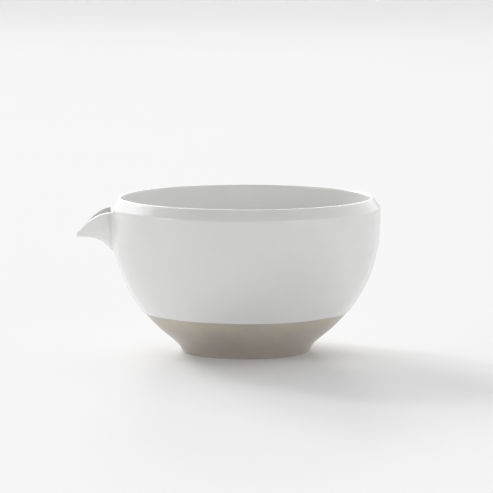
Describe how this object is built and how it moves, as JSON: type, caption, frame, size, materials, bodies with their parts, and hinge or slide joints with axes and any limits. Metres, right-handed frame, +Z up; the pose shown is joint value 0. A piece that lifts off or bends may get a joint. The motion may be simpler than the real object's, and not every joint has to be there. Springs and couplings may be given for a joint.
{
  "type": "spouted bowl",
  "caption": "Stoneware bowl with a small beak spout under its bevelled rim, white glaze inside and out, and a bare clay foot.",
  "frame": {"origin": "centre of the foot's resting plane, on the bowl's axis of turning", "axes": "+Z up along the bowl's axis of turning; the spout points along -X; the XZ plane is the mirror plane"},
  "size_m": [0.1416, 0.1256, 0.072],
  "materials": {
    "bare_clay": "matt unglazed stoneware, fired warm grey, fine-grained",
    "white_glaze": "soft satin-gloss white glaze, slightly thick at its lower edge"
  },
  "bodies": {
    "root": {"stoneware_body": "bare_clay", "pouring_spout": "bare_clay", "spout_joint_slip": "bare_clay", "outer_glaze": "white_glaze", "spout_glaze": "white_glaze", "liner_glaze": "white_glaze"}
  },
  "joints": []
}
